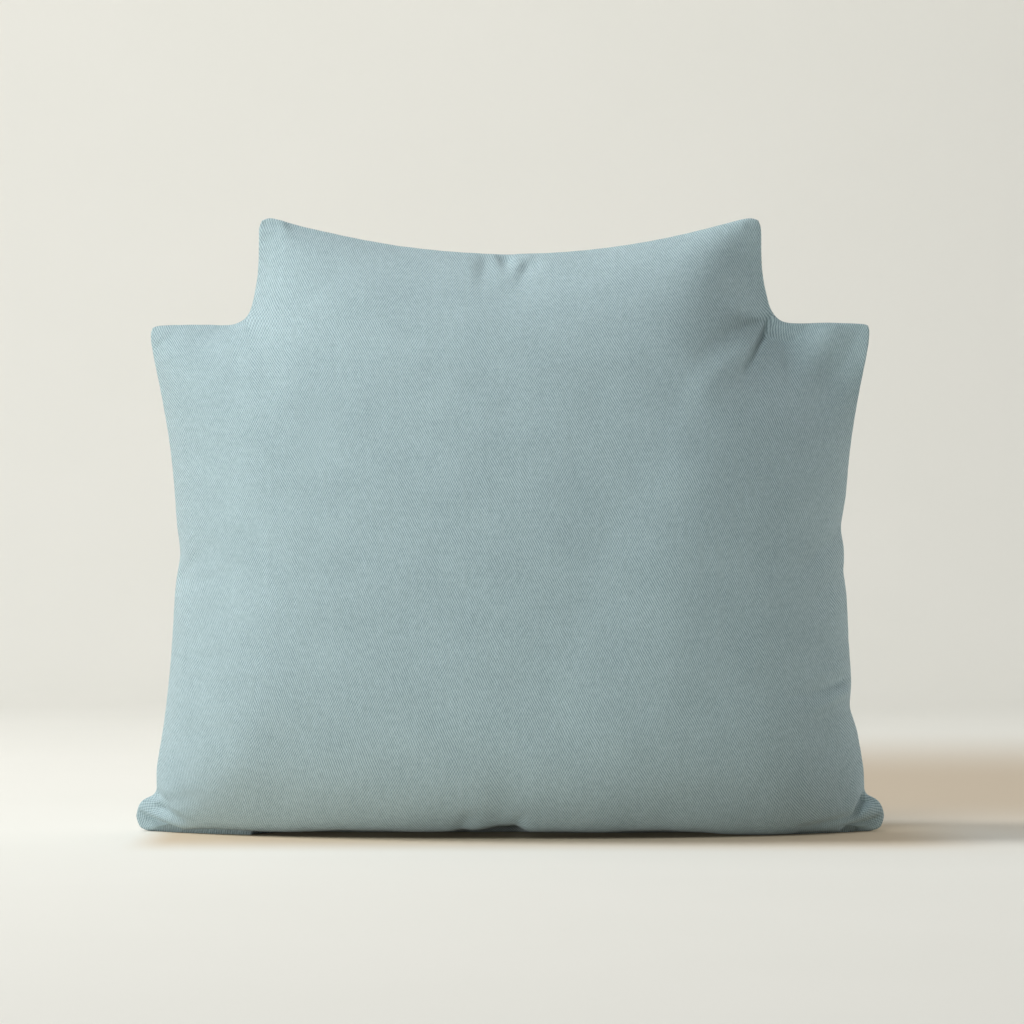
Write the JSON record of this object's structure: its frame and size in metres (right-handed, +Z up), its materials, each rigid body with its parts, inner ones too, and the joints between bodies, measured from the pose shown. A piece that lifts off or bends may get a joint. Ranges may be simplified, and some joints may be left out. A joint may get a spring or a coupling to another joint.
{
  "type": "headboard wedge pillow",
  "caption": "Stepped-top headboard cushion in pale blue-grey twill, thin at the top edge and filled deep at its base, so that it stands by itself.",
  "frame": {"origin": "middle of the base, on the floor, half way along the pillow's width and depth", "axes": "+X along the width, +Z up, and the front face looks along -Y"},
  "size_m": [0.6214, 0.2459, 0.511],
  "materials": {
    "cotton_twill": "matt brushed twill"
  },
  "bodies": {
    "root": {"pillow": "cotton_twill"}
  },
  "joints": []
}
